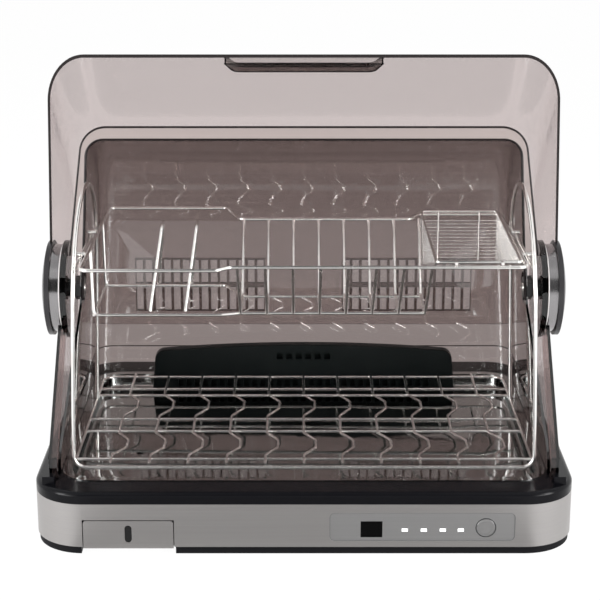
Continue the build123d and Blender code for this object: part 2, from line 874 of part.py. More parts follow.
def slope_z(y):
    rise = (basket_z - basket_wire - basket_low) / (inner_back - inner_front)
    return basket_low + rise * (inner_back - y)


def basket_rim():
    inner = [(inner_left, inner_front), (inner_right, inner_front)]
    inner += [(inner_right, inner_back), (inner_left, inner_back)]
    return wire_loop([(x, y, basket_z) for x, y in inner], 4.0, basket_wire)


def basket_tabs():
    tabs = []
    for x in (inner_left + 18, inner_right - 18):
        ends = [(inner_front - basket_wire, basket_front - 2)]
        ends.append((inner_back + basket_wire, basket_back + 2))
        for start, end in ends:
            tabs.append(rod((x, start, basket_z), (x, end, basket_z), basket_wire))
    return Compound(children=tabs)


def basket_back_wall():
    high = basket_z - basket_wire
    wall = rod((inner_left, inner_back, basket_low), (inner_right, inner_back, basket_low), basket_wire)
    for x in (inner_left + 18, inner_right - 18):
        wall += rod((x, inner_back, basket_low), (x, inner_back, high), 1.2)
    for n in range(1, 8):
        z = basket_low + n * 6.4
        wall += rod((inner_left, inner_back, z), (inner_right, inner_back, z), mesh_wire)
    return wall


def basket_side(x):
    start = (x, inner_back - basket_wire - 0.3, basket_low)
    wall = rod(start, (x, inner_front + 4, slope_z(inner_front + 4)), 1.2)
    for n in range(1, 24):
        y = inner_back - n * 8.0
        wall += rod((x, y, slope_z(y)), (x, y, basket_z - basket_wire), mesh_wire)
    return wall


def basket_floor():
    wires = []
    first_y = inner_back - basket_wire - 0.2
    for n in range(1, 12):
        x = inner_left + n * (inner_right - inner_left) / 12
        end = (x, inner_front + 6, slope_z(inner_front + 6))
        wires.append(rod((x, first_y, basket_low), end, mesh_wire))
    return Compound(children=wires)


save(bottom_pan(), "bottom_pan")
save(rubber_feet(), "rubber_feet")
save(case_screws(), "case_screws")
save(base_band(), "base_band")
save(top_deck(), "top_deck")
save(drip_tray(), "drip_tray")
save(duct_cover(), "duct_cover")
save(air_plenum(), "air_plenum")
save(blower_housing(), "blower_housing")
save(blower_motor(), "blower_motor")
save(blower_shaft(), "blower_shaft")
save(blower_impeller(), "blower_impeller")
save(heater_block(), "heater_block")
save(intake_filter(), "intake_filter")
save(control_plate(), "control_plate")
save(display_window(), "display_window")
save(indicator_lights(), "indicator_lights")
save(power_button(), "power_button")
save(control_board(), "control_board")
save(button_switch(), "button_switch")
save(cord_gland(), "cord_gland")
save(drawer_runner(), "drawer_runner")
save(drawer_tub(), "drawer_tub")
save(drawer_front(), "drawer_front")
save(drawer_pill(front_face + 0.6, front_face + drawer_face), "drawer_window")
save(opened(closed_visor()), "door_visor")
save(opened(closed_handle()), "door_handle")
save(hinge_cap(), "right_hinge_cap")
save(mirrored(hinge_cap()), "left_hinge_cap")
save(cheek(), "right_cheek")
save(mirrored(cheek()), "left_cheek")
save(hinge_pin(), "right_hinge_pin")
save(mirrored(hinge_pin()), "left_hinge_pin")
save(hinge_nut(), "right_hinge_nut")
save(mirrored(hinge_nut()), "left_hinge_nut")
save(rear_cover(), "rear_cover")
save(vent_screens(), "vent_screens")
save(rack_front_bar(), "rack_front_bar")
save(rack_arch(-1), "left_rack_arch")
save(rack_arch(1), "right_rack_arch")
save(rack_floor(), "rack_floor")
save(rack_rail(-1), "left_rack_rail")
save(rack_rail(1), "right_rack_rail")
save(upper_rack_rim(), "upper_rack_rim")
save(cradle_wall(-133, cradle_front_y, bay_front_y), "upper_rack_front")
save(cradle_wall(53, cradle_back_y, bay_back_y), "upper_rack_rear")
save(upper_rack_floor(), "upper_rack_floor")
save(plate_hoops(), "plate_hoops")
save(rack_hooks(), "rack_hooks")
save(basket_rim(), "basket_rim")
save(basket_tabs(), "basket_tabs")
save(basket_back_wall(), "basket_back")
save(basket_side(inner_left), "basket_left_side")
save(basket_side(inner_right), "basket_right_side")
save(basket_floor(), "basket_floor")
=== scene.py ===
import bpy
import bmesh
import json
from math import acos, cos, degrees, hypot, radians, sin, tan
from mathutils import Matrix, Vector

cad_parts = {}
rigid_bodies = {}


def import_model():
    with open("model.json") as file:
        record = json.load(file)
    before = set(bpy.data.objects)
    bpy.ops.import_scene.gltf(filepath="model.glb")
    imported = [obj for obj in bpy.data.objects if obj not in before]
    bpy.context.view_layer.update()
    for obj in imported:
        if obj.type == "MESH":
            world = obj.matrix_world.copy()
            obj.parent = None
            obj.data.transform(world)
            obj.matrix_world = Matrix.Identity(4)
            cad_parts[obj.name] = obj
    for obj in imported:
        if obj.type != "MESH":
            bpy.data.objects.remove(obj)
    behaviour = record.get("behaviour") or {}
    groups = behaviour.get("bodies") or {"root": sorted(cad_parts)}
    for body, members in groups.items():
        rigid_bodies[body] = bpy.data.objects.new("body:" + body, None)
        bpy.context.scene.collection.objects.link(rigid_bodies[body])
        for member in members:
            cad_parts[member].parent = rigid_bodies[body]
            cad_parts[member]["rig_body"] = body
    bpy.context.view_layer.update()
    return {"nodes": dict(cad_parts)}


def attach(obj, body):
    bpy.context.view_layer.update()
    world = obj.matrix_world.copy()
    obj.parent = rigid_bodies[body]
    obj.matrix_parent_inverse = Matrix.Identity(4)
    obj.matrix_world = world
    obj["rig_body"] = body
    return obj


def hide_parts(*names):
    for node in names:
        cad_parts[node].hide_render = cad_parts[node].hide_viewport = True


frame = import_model()
scene = bpy.context.scene
scene.view_settings.view_transform = "Standard"
mm = 0.001
stand = 3.0  # the feet lift the shell by this many millimetres
sideSigns = {"left": -1, "right": 1}
print("frame loaded,", len(frame["nodes"]), "nodes")


# shader groups shared by several finishes

def newGroup(name, inputs, outputs):
    group = bpy.data.node_groups.new(name, "ShaderNodeTree")
    for label, value in inputs:
        socket = group.interface.new_socket(name=label, in_out="INPUT", socket_type="NodeSocketFloat")
        socket.default_value = value
    for label in outputs:
        group.interface.new_socket(name=label, in_out="OUTPUT", socket_type="NodeSocketFloat")
    return group, group.nodes.new("NodeGroupInput"), group.nodes.new("NodeGroupOutput")


def objectCoords(nodes, links, scale):
    coords = nodes.new("ShaderNodeTexCoord")
    mapping = nodes.new("ShaderNodeMapping")
    mapping.inputs["Scale"].default_value = scale
    links.new(coords.outputs["Object"], mapping.inputs["Vector"])
    return mapping.outputs["Vector"]


def noiseGroup(name, inputs, outputs, detail, stretch=(1, 1, 1)):
    # a group with one noise on Object coordinates, sized by its Scale input
    group, inp, out = newGroup(name, inputs, outputs)
    nodes, links = group.nodes, group.links
    noise = nodes.new("ShaderNodeTexNoise")
    noise.inputs["Detail"].default_value = detail
    links.new(objectCoords(nodes, links, stretch), noise.inputs["Vector"])
    links.new(inp.outputs["Scale"], noise.inputs["Scale"])
    return group, inp, out, noise.outputs["Fac"]


def spreadNoise(group, inp, out, noise, low=0.0, high=1.0):
    # noise from low to high comes out from the group's Low to its High
    links = group.links
    spread = group.nodes.new("ShaderNodeMapRange")
    spread.inputs["From Min"].default_value = low
    spread.inputs["From Max"].default_value = high
    links.new(noise, spread.inputs["Value"])
    links.new(inp.outputs["Low"], spread.inputs["To Min"])
    links.new(inp.outputs["High"], spread.inputs["To Max"])
    links.new(spread.outputs["Result"], out.inputs["Value"])


def buildSmudge():
    # broad soft patches, used for handling marks and uneven gloss
    inputs = [("Scale", 14.0), ("Low", 0.2), ("High", 0.3)]
    group, inp, out, noise = noiseGroup("smudge", inputs, ["Value"], detail=4.0)
    spreadNoise(group, inp, out, noise, low=0.3, high=0.7)
    return group


def buildGrain():
    # fine moulded texture, height only
    group, _, out, noise = noiseGroup("mouldGrain", [("Scale", 900.0)], ["Height"], detail=2.0)
    group.links.new(noise, out.inputs["Height"])
    return group


def buildBrushed():
    # long hairlines along X
    inputs = [("Scale", 60.0), ("Low", 0.25), ("High", 0.4)]
    stretch = (0.12, 1.0, 34.0)
    group, inp, out, noise = noiseGroup("hairlines", inputs, ["Height", "Value"], detail=3.0, stretch=stretch)
    group.links.new(noise, out.inputs["Height"])
    spreadNoise(group, inp, out, noise)
    return group


smudgeGroup = buildSmudge()
grainGroup = buildGrain()
brushedGroup = buildBrushed()


# finishes

def newFinish(name, color, settings):
    mat = bpy.data.materials.new(name)
    mat.use_nodes = True
    shader = mat.node_tree.nodes["Principled BSDF"]
    shader.inputs["Base Color"].default_value = (*color, 1.0)
    for socket, value in settings.items():
        shader.inputs[socket].default_value = value
    return mat, mat.node_tree.nodes, mat.node_tree.links, shader


def addGroup(nodes, group, values):
    node = nodes.new("ShaderNodeGroup")
    node.node_tree = group
    for socket, value in values.items():
        node.inputs[socket].default_value = value
    return node


def patchyGloss(nodes, links, shader, scale, low, high):
    smudge = addGroup(nodes, smudgeGroup, {"Scale": scale, "Low": low, "High": high})
    links.new(smudge.outputs["Value"], shader.inputs["Roughness"])


def addBump(nodes, links, shader, height, strength, distance):
    bump = nodes.new("ShaderNodeBump")
    bump.inputs["Strength"].default_value = strength
    bump.inputs["Distance"].default_value = distance
    links.new(height, bump.inputs["Height"])
    links.new(bump.outputs["Normal"], shader.inputs["Normal"])


def tintBy(nodes, links, shader, value, stops):
    ramp = nodes.new("ShaderNodeValToRGB")
    for element, (place, color) in zip(ramp.color_ramp.elements, stops):
        element.position = place
        element.color = (*color, 1)
    links.new(value, ramp.inputs["Fac"])
    links.new(ramp.outputs["Color"], shader.inputs["Base Color"])


moulding = {"patchScale": 22.0, "glossier": 0.85, "duller": 1.2, "grainScale": 1400.0, "grainDepth": 0.0002}


def mouldedPlastic(name, color, rough, bump=0.0, gloss=0.5):
    mat, nodes, links, shader = newFinish(name, color, {"Specular IOR Level": gloss})
    low, high = rough * moulding["glossier"], rough * moulding["duller"]
    patchyGloss(nodes, links, shader, moulding["patchScale"], low, high)
    grain = addGroup(nodes, grainGroup, {"Scale": moulding["grainScale"]})
    addBump(nodes, links, shader, grain.outputs["Height"], bump, moulding["grainDepth"])
    return mat


polish = {"patchScale": 30.0, "rippleScale": 16.0, "rippleStrength": 1.0}


def polishedSteel(name, color, low, high, ripple=0.0):
    mat, nodes, links, shader = newFinish(name, color, {"Metallic": 1.0})
    patchyGloss(nodes, links, shader, polish["patchScale"], low, high)
    if ripple:
        wave = addGroup(nodes, smudgeGroup, {"Scale": polish["rippleScale"], "Low": 0.0, "High": 1.0})
        addBump(nodes, links, shader, wave.outputs["Value"], polish["rippleStrength"], ripple)
    return mat


smoky = {
    "tint": (0.99, 0.985, 0.985), "index": 1.58, "coatIndex": 1.8, "coatRough": 0.02, "patchScale": 9.0,
    "dullest": 0.03,
}


def smokySheet(name, soak, density=1000.0, lacquer=0.0):
    # the body of the sheet soaks up light, so its edges and folds go dark as in the real plastic
    mat, nodes, links, shader = newFinish(name, smoky["tint"], {
        "Transmission Weight": 1.0, "IOR": smoky["index"], "Coat Weight": lacquer,
        "Coat IOR": smoky["coatIndex"], "Coat Roughness": smoky["coatRough"],
    })
    patchyGloss(nodes, links, shader, smoky["patchScale"], 0.0, smoky["dullest"])
    volume = nodes.new("ShaderNodeVolumeAbsorption")
    volume.inputs["Color"].default_value = (*soak, 1)
    volume.inputs["Density"].default_value = density
    links.new(volume.outputs["Volume"], nodes["Material Output"].inputs["Volume"])
    return mat


brushing = {
    "lengthwise": 0.4, "scale": 60.0, "low": 0.34, "high": 0.44, "darkStop": 0.35, "lightStop": 0.65,
    "strength": 0.015, "depth": 0.0002,
}


def hairlineMetal(name, dark, light, metallic):
    settings = {"Metallic": metallic, "Anisotropic": brushing["lengthwise"]}
    mat, nodes, links, shader = newFinish(name, light, settings)
    lines = addGroup(nodes, brushedGroup, {
        "Scale": brushing["scale"], "Low": brushing["low"], "High": brushing["high"],
    })
    links.new(lines.outputs["Value"], shader.inputs["Roughness"])
    stops = [(brushing["darkStop"], dark), (brushing["lightStop"], light)]
    tintBy(nodes, links, shader, lines.outputs["Height"], stops)
    addBump(nodes, links, shader, lines.outputs["Height"], brushing["strength"], brushing["depth"])
    return mat


signal = {"color": (0.9, 0.9, 0.9), "glow": 0.6, "patchScale": 40.0, "low": 0.25, "high": 0.35}


def lampLens():
    mat, nodes, links, shader = newFinish("lampLens", signal["color"], {
        "Emission Color": (1, 1, 1, 1), "Emission Strength": signal["glow"],
    })
    patchyGloss(nodes, links, shader, signal["patchScale"], signal["low"], signal["high"])
    return mat


finishes = {
    "door": smokySheet("smokyDoor", (0.87, 0.835, 0.83)),
    "dome": smokySheet("smokyDome", (0.53, 0.465, 0.45), lacquer=0.6),
    "screen": smokySheet("smokyScreen", (0.215, 0.146, 0.13), density=2000.0),
    # a near-black for the cut edges of the smoky plastic, also used as painted shade on the vent slot tops
    # and bottoms
    "smokyEdge": mouldedPlastic("smokyEdge", (0.012, 0.009, 0.009), rough=0.25, gloss=0.25),
    "slotWall": mouldedPlastic("slotWall", (0.14, 0.12, 0.115), rough=0.4, gloss=0.25),
    "hub": polishedSteel("hubGrey", (0.34, 0.33, 0.335), low=0.16, high=0.24),
    "seamGrey": mouldedPlastic("seamGrey", (0.12, 0.12, 0.122), rough=0.4, gloss=0.3),
    "ringGrey": mouldedPlastic("ringGrey", (0.03, 0.03, 0.032), rough=0.4, gloss=0.3),
    # a pale colour that paints the highlight on the inner edge of each hinge hub
    "hubHighlight": mouldedPlastic("paintedHubHighlight", (0.62, 0.6, 0.59), rough=0.25),
    "smokyRim": mouldedPlastic("smokyRim", (0.27, 0.23, 0.22), rough=0.3, gloss=0.3),
    "chrome": polishedSteel("rackChrome", (0.9, 0.88, 0.86), low=0.18, high=0.26),
    "tray": polishedSteel("traySteel", (0.41, 0.42, 0.415), low=0.03, high=0.07, ripple=0.00012),
    "deck": mouldedPlastic("deckBlack", (0.004, 0.004, 0.005), rough=0.2, bump=0.02, gloss=0.12),
    "band": hairlineMetal("bandSilver", (0.375, 0.36, 0.354), (0.395, 0.38, 0.373), metallic=0.9),
    "plate": hairlineMetal("plateSilver", (0.285, 0.281, 0.28), (0.3, 0.296, 0.295), metallic=0.75),
    "duct": mouldedPlastic("ductBlack", (0.004, 0.006, 0.006), rough=0.36, bump=0.12, gloss=0.22),
    "skirt": mouldedPlastic("skirtBlack", (0.004, 0.004, 0.005), rough=0.5, bump=0.15, gloss=0.1),
    "cap": mouldedPlastic("capGrey", (0.02, 0.019, 0.021), rough=0.3, bump=0.05, gloss=0.4),
    "nut": mouldedPlastic("nutBlack", (0.006, 0.006, 0.006), rough=0.2, bump=0.05),
    "glass": mouldedPlastic("displayGlass", (0.002, 0.002, 0.002), rough=0.08, gloss=0.06),
    "rubber": mouldedPlastic("footRubber", (0.014, 0.014, 0.014), rough=0.7, bump=0.3, gloss=0.3),
    "tub": mouldedPlastic("tubPlastic", (0.5, 0.5, 0.49), rough=0.4, bump=0.08),
    "board": mouldedPlastic("boardGreen", (0.02, 0.13, 0.05), rough=0.4, bump=0.05),
    "innerMetal": polishedSteel("innerMetal", (0.5, 0.5, 0.5), low=0.25, high=0.4),
    "lens": lampLens(),
}
print("finishes ready,", len(finishes))


# helpers for pieces
shading = {"mergeGap": 0.00001, "skinAngle": 32, "wireAngle": 50}


def at(x, y, z):
    # a point in the millimetres of the drawing, where the shell of the base stands at zero
    return Vector((x, y, z + stand)) * mm


def addPiece(name, mesh, body, nodes, finish):
    obj = bpy.data.objects.new(name, mesh)
    scene.collection.objects.link(obj)
    mesh.materials.clear()
    mesh.materials.append(finishes[finish])
    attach(obj, body)
    if nodes:
        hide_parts(*nodes)
    return obj


def smoothPiece(node, finish):
    # a merged copy of the solid with soft shading on its round faces
    source = frame["nodes"][node]
    mesh = source.data.copy()
    bm = bmesh.new()
    bm.from_mesh(mesh)
    bmesh.ops.remove_doubles(bm, verts=bm.verts, dist=shading["mergeGap"])
    bm.to_mesh(mesh)
    bm.free()
    if "custom_normal" in mesh.attributes:
        mesh.attributes.remove(mesh.attributes["custom_normal"])
    mesh.shade_smooth()
    mesh.set_sharp_from_angle(angle=radians(shading["skinAngle"]))
    return addPiece(node + "Skin", mesh, source["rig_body"], (node,), finish)


# a run is a pair of points and whether it closes on itself

def straightRun(start, end):
    return [at(*start), at(*end)], False


def fullTurn(steps):
    return [radians(360 * n / steps) for n in range(steps)]


def roundedPath(points, bends, steps=10):
    corners = [at(*p) for p in points]
    path = [corners[0]]
    for before, corner, after, bend in zip(corners, corners[1:], corners[2:], bends):
        back = (before - corner).normalized()
        ahead = (after - corner).normalized()
        half = back.angle(ahead) / 2
        reach = bend * mm / tan(half)
        centre = corner + (back + ahead).normalized() * (bend * mm / sin(half))
        first = corner + back * reach - centre
        last = corner + ahead * reach - centre
        turn = first.angle(last)
        for n in range(steps + 1):
            t = n / steps
            spot = first * (sin((1 - t) * turn) / sin(turn)) + last * (sin(t * turn) / sin(turn))
            path.append(centre + spot)
    path.append(corners[-1])
    return path


def closedPath(points, bend, steps=10):
    start = [(points[-1][n] + points[0][n]) / 2 for n in range(3)]
    return roundedPath([start, *points, start], [bend] * len(points), steps)[:-1]


def tubeMesh(name, runs, radius, sides=3):
    curve = bpy.data.curves.new(name, "CURVE")
    curve.dimensions = "3D"
    curve.bevel_depth = radius * mm
    curve.bevel_resolution = sides
    curve.use_fill_caps = True
    for points, closed in runs:
        spline = curve.splines.new("POLY")
        spline.points.add(len(points) - 1)
        for spot, point in zip(spline.points, points):
            spot.co = (*point, 1)
        spline.use_cyclic_u = closed
    obj = bpy.data.objects.new(name, curve)
    scene.collection.objects.link(obj)
    mesh = bpy.data.meshes.new_from_object(obj.evaluated_get(bpy.context.evaluated_depsgraph_get()))
    bpy.data.objects.remove(obj)
    bpy.data.curves.remove(curve)
    mesh.shade_smooth()
    mesh.set_sharp_from_angle(angle=radians(shading["wireAngle"]))
    return mesh


def addTube(name, runs, radius, body, nodes=(), finish="chrome", sides=3):
    addPiece(name, tubeMesh(name, runs, radius, sides), body, nodes, finish)


def joinMeshes(name, meshes):
    bm = bmesh.new()
    for mesh in meshes:
        bm.from_mesh(mesh)
    joined = bpy.data.meshes.new(name)
    bm.to_mesh(joined)
    bm.free()
    joined.shade_smooth()
    joined.set_sharp_from_angle(angle=radians(shading["wireAngle"]))
    return joined


# geometry node trees: one repeats a bent wire, one fans straight wires of changing height

def newTree(name, inputs):
    tree = bpy.data.node_groups.new(name, "GeometryNodeTree")
    tree.interface.new_socket(name="Geometry", in_out="INPUT", socket_type="NodeSocketGeometry")
    for label, kind in inputs:
        tree.interface.new_socket(name=label, in_out="INPUT", socket_type=kind)
    tree.interface.new_socket(name="Geometry", in_out="OUTPUT", socket_type="NodeSocketGeometry")
    return tree, tree.nodes.new("NodeGroupInput"), tree.nodes.new("NodeGroupOutput")


def wireTube(tree, inp, curve, sides):
    # a round wire along the curve
    nodes, links = tree.nodes, tree.links
    circle = nodes.new("GeometryNodeCurvePrimitiveCircle")
    circle.inputs["Resolution"].default_value = sides
    tube = nodes.new("GeometryNodeCurveToMesh")
    tube.inputs["Fill Caps"].default_value = True
    links.new(curve, tube.inputs["Curve"])
    links.new(inp.outputs["Wire Radius"], circle.inputs["Radius"])
    links.new(circle.outputs["Curve"], tube.inputs["Profile Curve"])
    return tube.outputs["Mesh"]


def placeOnLine(tree, inp, instance):
    # copies of one instance along a line, made real
    nodes, links = tree.nodes, tree.links
    line = nodes.new("GeometryNodeMeshLine")
    line.mode = "OFFSET"
    place = nodes.new("GeometryNodeInstanceOnPoints")
    real = nodes.new("GeometryNodeRealizeInstances")
    links.new(inp.outputs["Count"], line.inputs["Count"])
    links.new(inp.outputs["Step"], line.inputs["Offset"])
    links.new(line.outputs["Mesh"], place.inputs["Points"])
    links.new(instance, place.inputs["Instance"])
    links.new(place.outputs["Instances"], real.inputs["Geometry"])
    return line, place, real.outputs["Geometry"]


def endTree(tree, inp, out, geometry):
    nodes, links = tree.nodes, tree.links
    smooth = nodes.new("GeometryNodeSetShadeSmooth")
    setMat = nodes.new("GeometryNodeSetMaterial")
    links.new(geometry, smooth.inputs["Geometry"])
    links.new(smooth.outputs["Geometry"], setMat.inputs["Geometry"])
    links.new(inp.outputs["Finish"], setMat.inputs["Material"])
    links.new(setMat.outputs["Geometry"], out.inputs["Geometry"])


def buildRepeatTree():
    tree, inp, out = newTree("repeatWire", [
        ("Count", "NodeSocketInt"), ("Step", "NodeSocketVector"), ("Wire Radius", "NodeSocketFloat"),
        ("Finish", "NodeSocketMaterial"),
    ])
    toCurve = tree.nodes.new("GeometryNodeMeshToCurve")
    tree.links.new(inp.outputs["Geometry"], toCurve.inputs["Mesh"])
    wire = wireTube(tree, inp, toCurve.outputs["Curve"], sides=10)
    _, _, wires = placeOnLine(tree, inp, wire)
    endTree(tree, inp, out, wires)
    return tree


def buildFanTree():
    tree, inp, out = newTree("fanWires", [
        ("Count", "NodeSocketInt"), ("Start", "NodeSocketVector"), ("Step", "NodeSocketVector"),
        ("Height", "NodeSocketFloat"), ("Height Change", "NodeSocketFloat"),
        ("Wire Radius", "NodeSocketFloat"), ("Finish", "NodeSocketMaterial"),
    ])
    nodes, links = tree.nodes, tree.links
    stick = nodes.new("GeometryNodeCurvePrimitiveLine")
    stick.inputs["End"].default_value = (0, 0, 1)
    index = nodes.new("GeometryNodeInputIndex")
    grow = nodes.new("ShaderNodeMath")
    grow.operation = "MULTIPLY_ADD"
    size = nodes.new("ShaderNodeCombineXYZ")
    size.inputs["X"].default_value = 1.0
    size.inputs["Y"].default_value = 1.0
    line, place, sticks = placeOnLine(tree, inp, stick.outputs["Curve"])
    links.new(inp.outputs["Start"], line.inputs["Start Location"])
    links.new(index.outputs["Index"], grow.inputs[0])
    links.new(inp.outputs["Height Change"], grow.inputs[1])
    links.new(inp.outputs["Height"], grow.inputs[2])
    links.new(grow.outputs["Value"], size.inputs["Z"])
    links.new(size.outputs["Vector"], place.inputs["Scale"])
    endTree(tree, inp, out, wireTube(tree, inp, sticks, sides=8))
    return tree


repeatTree = buildRepeatTree()
fanTree = buildFanTree()


def runTree(name, tree, path, values):
    mesh = bpy.data.meshes.new(name)
    mesh.from_pydata(path, [(n, n + 1) for n in range(len(path) - 1)], [])
    obj = bpy.data.objects.new(name, mesh)
    scene.collection.objects.link(obj)
    modifier = obj.modifiers.new("wires", "NODES")
    modifier.node_group = tree
    sockets = {s.name: s.identifier for s in tree.interface.items_tree if s.in_out == "INPUT"}
    for label, value in values.items():
        modifier[sockets[label]] = value
    result = bpy.data.meshes.new_from_object(obj.evaluated_get(bpy.context.evaluated_depsgraph_get()))
    bpy.data.objects.remove(obj)
    bpy.data.meshes.remove(mesh)
    return result


def repeated(name, path, count, step, radius):
    return runTree(name, repeatTree, path, {
        "Count": count, "Step": [s * mm for s in step], "Wire Radius": radius * mm,
        "Finish": finishes["chrome"],
    })


# base
for node, finish in [
    ("bottom_pan", "skirt"), ("rubber_feet", "rubber"), ("base_band", "band"), ("top_deck", "deck"),
    ("drip_tray", "tray"), ("duct_cover", "duct"), ("control_plate", "plate"), ("power_button", "plate"),
    ("drawer_front", "band"), ("cord_gland", "nut"), ("drawer_window", "nut"),
    ("left_hinge_cap", "cap"), ("right_hinge_cap", "cap"), ("left_hinge_nut", "nut"),
    ("right_hinge_nut", "nut"), ("left_hinge_pin", "nut"), ("right_hinge_pin", "nut"),
]:
    smoothPiece(node, finish)

# these keep the mesh of their solid
for node, finish in [
    ("case_screws", "innerMetal"), ("air_plenum", "duct"), ("blower_housing", "duct"),
    ("blower_motor", "innerMetal"), ("heater_block", "innerMetal"), ("intake_filter", "innerMetal"),
    ("display_window", "glass"), ("indicator_lights", "lens"), ("control_board", "board"),
    ("button_switch", "nut"), ("drawer_runner", "skirt"), ("drawer_tub", "tub"),
    ("blower_impeller", "duct"), ("blower_shaft", "innerMetal"),
]:
    mesh = frame["nodes"][node].data
    mesh.materials.clear()
    mesh.materials.append(finishes[finish])

buttonRing = {"x": 168.0, "y": -189.1, "z": 24.0, "radius": 9.2, "line": 0.4, "steps": 64}


def buttonRun():
    x, y, z, radius = (buttonRing[size] for size in ("x", "y", "z", "radius"))
    return [at(x + radius * cos(t), y, z + radius * sin(t)) for t in fullTurn(buttonRing["steps"])], True


plateLine = {"left": 23.5, "right": 195.0, "low": 11.0, "top": 39.0, "y": -189.4, "corner": 5.0, "line": 0.45}


def plateRun():
    left, right, low, top, y = (plateLine[size] for size in ("left", "right", "low", "top", "y"))
    corners = [(left, y, low), (right, y, low), (right, y, top), (left, y, top)]
    return closedPath(corners, plateLine["corner"]), True


addTube("plateLine", [plateRun()], plateLine["line"], "base", finish="seamGrey")
addTube("buttonRing", [buttonRun()], buttonRing["line"], "base", finish="ringGrey")
print("base dressed")


# smoky covers
door = {
    "pivotY": 5.0, "pivotZ": 199.0, "swing": 121.5, "edgeAngle": -35.6, "farAngle": 87.5, "edgeReach": 237.5,
    "crown": 183.0, "gripLow": 2.0, "gripHigh": 19.0, "gripHalf": 76.0, "gripTaper": 8.0, "gripBend": 9.0,
    "gripDepth": 9.5, "gripFloorGap": 0.8, "gripMouth": 2.6, "gripLine": 0.7, "hubRadius": 44.0,
    "hubInner": 240.0, "hubOuter": 250.3, "flangeStep": 0.5, "flangeLine": 0.7,
}
visorFaces = {"edgeSquare": 0.95, "edgeGap": 0.6, "hubGap": 1.0, "hubTilt": 0.5}


def darkenEdges(obj, angles):
    # the cut edges of the visor lie in planes through the hinge axis, its two hubs are drums round it
    mesh = obj.data
    mesh.materials.append(finishes["smokyEdge"])
    mesh.materials.append(finishes["hub"])
    pivot = at(0, door["pivotY"], door["pivotZ"])
    for face in mesh.polygons:
        reach = face.center - pivot
        radius = hypot(reach.y, reach.z)
        angle = degrees(acos(max(-1, min(1, -reach.y / radius))))
        angle = angle if reach.z >= 0 else 360 - angle
        square = abs(face.normal.y * reach.z - face.normal.z * reach.y) / radius
        nearEdge = any(abs(angle - a) < visorFaces["edgeGap"] for a in angles)
        if nearEdge and square > visorFaces["edgeSquare"]:
            face.material_index = 1
        nearHub = abs(radius / mm - door["hubRadius"]) < visorFaces["hubGap"]
        alongHub = door["hubInner"] < abs(face.center.x) / mm < door["hubOuter"]
        if nearHub and alongHub and abs(face.normal.x) < visorFaces["hubTilt"]:
            face.material_index = 2


def gripSpot(x, up, deep):
    # a point of the grip pocket: up from the front edge of the shut visor and deep into the cabin,
    # then swung open
    lean = radians(door["edgeAngle"]) + acos(door["crown"] / door["edgeReach"])
    edge = Vector((0, -cos(radians(door["edgeAngle"])), sin(radians(door["edgeAngle"])))) * door["edgeReach"]
    spot = edge + Vector((x, 0, 0))
    spot += Vector((0, sin(lean), cos(lean))) * up
    spot += Vector((0, cos(lean), -sin(lean))) * deep
    spot = Matrix.Rotation(-radians(door["swing"]), 3, "X") @ spot
    return spot.x, spot.y + door["pivotY"], spot.z + door["pivotZ"]


def gripRun(deep):
    low, high, wide = door["gripLow"], door["gripHigh"], door["gripHalf"]
    narrow = wide - door["gripTaper"]
    corners = [(-wide, low), (-narrow, high), (narrow, high), (wide, low)]
    return roundedPath([gripSpot(x, up, deep) for x, up in corners], [door["gripBend"]] * 2, steps=8), False


nut = {"face": 220.9, "ring": 3.2, "line": 1.2}


def hubRun(side, x, radius, steps=48):
    y, z = door["pivotY"], door["pivotZ"]
    return [at(side * x, y + radius * cos(t), z + radius * sin(t)) for t in fullTurn(steps)], True


cover = {
    "rimFront": -7.4, "rimLow": 237.0, "rimTilt": -0.5, "wallTilt": 0.3, "levelTilt": 0.8, "screenGap": 0.25,
    "ventHalf": 190.0, "ventLow": 127.0, "ventHigh": 197.0, "ventFront": 147.0,
}


def dressCover(obj):
    # the rim flange has a face of its own; the vent slots have grey sides and dark tops and bottoms, their
    # cut faces darkened with painted shade
    mesh = obj.data
    for finish in ("smokyRim", "smokyEdge", "slotWall"):
        mesh.materials.append(finishes[finish])
    for face in mesh.polygons:
        x, y, z = face.center / mm
        z -= stand
        if y < cover["rimFront"] and z > cover["rimLow"] and face.normal.y < cover["rimTilt"]:
            face.material_index = 1
        behind = y > cover["ventFront"] and abs(x) < cover["ventHalf"]
        inVents = behind and cover["ventLow"] < z < cover["ventHigh"]
        if inVents and abs(face.normal.y) < cover["wallTilt"]:
            # slot tops and bottoms take the dark edge colour as painted shade, and the sides take a plain
            # grey
            face.material_index = 2 if abs(face.normal.z) > cover["levelTilt"] else 3


def freeScreens(obj):
    # a hair of air between the screens and the cover behind which they sit
    back = max(v.co.y for v in obj.data.vertices)
    for v in obj.data.vertices:
        if back - v.co.y > cover["screenGap"] * mm:
            v.co.y += cover["screenGap"] * mm


edgeAngles = [door[edge] + door["swing"] for edge in ("edgeAngle", "farAngle")]
darkenEdges(smoothPiece("door_visor", "door"), edgeAngles)
smoothPiece("door_handle", "dome")
# each hub gets a thin pale ring on its inner edge, a painted highlight, and a chrome ring at the pin
for label, side in sideSigns.items():
    flangeRun = hubRun(side, door["hubInner"] + door["flangeStep"], door["hubRadius"])
    addTube(label + "HubFlangeHighlight", [flangeRun], door["flangeLine"], "door", finish="hubHighlight")
    addTube(label + "PinRing", [hubRun(side, nut["face"], nut["ring"])], nut["line"], "base")
dressCover(smoothPiece("rear_cover", "dome"))
freeScreens(smoothPiece("vent_screens", "screen"))
smoothPiece("left_cheek", "door")
smoothPiece("right_cheek", "door")
gripRuns = [gripRun(door["gripDepth"] - door["gripFloorGap"]), gripRun(door["gripMouth"])]
addTube("gripOutline", gripRuns, door["gripLine"], "door", finish="smokyEdge")

